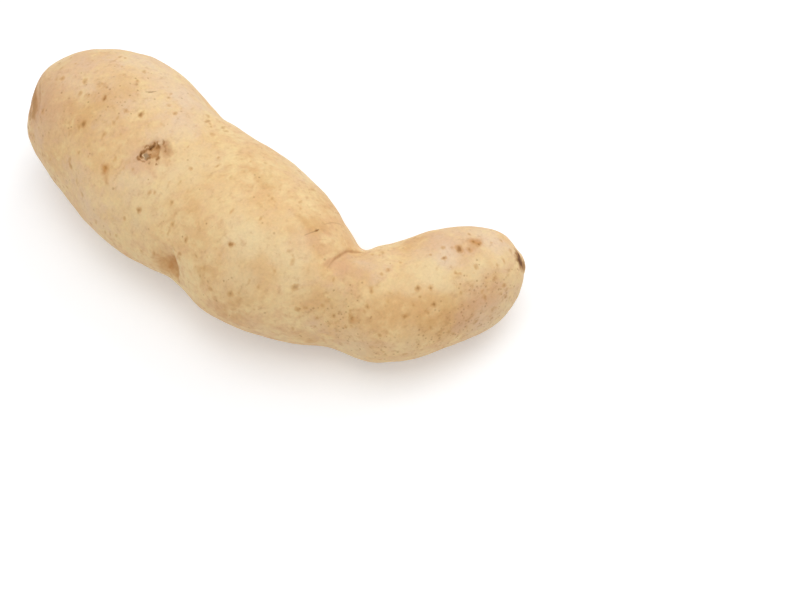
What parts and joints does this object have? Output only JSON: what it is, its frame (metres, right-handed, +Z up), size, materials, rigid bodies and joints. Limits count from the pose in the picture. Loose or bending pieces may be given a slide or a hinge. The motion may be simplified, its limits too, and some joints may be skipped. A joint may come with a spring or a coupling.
{
  "type": "fingerling potato",
  "caption": "Whole raw fingerling potato, a long knobbly tuber with a fat head, a shallow waist and a finger bent off at an elbow, lying on its side.",
  "frame": {"origin": "centre of the bounding box in plan, on the surface the potato lies on", "axes": "+Z up, +X along the tuber's length towards the finger's rose end, +Y towards the side the inside of the elbow faces"},
  "size_m": [0.1106, 0.074, 0.0348],
  "materials": {
    "tuber": "satin-matt washed potato skin, pale tan, with small brown lenticels, russet scurf and a corky scar"
  },
  "bodies": {
    "root": {"tuber": "tuber"}
  },
  "joints": []
}
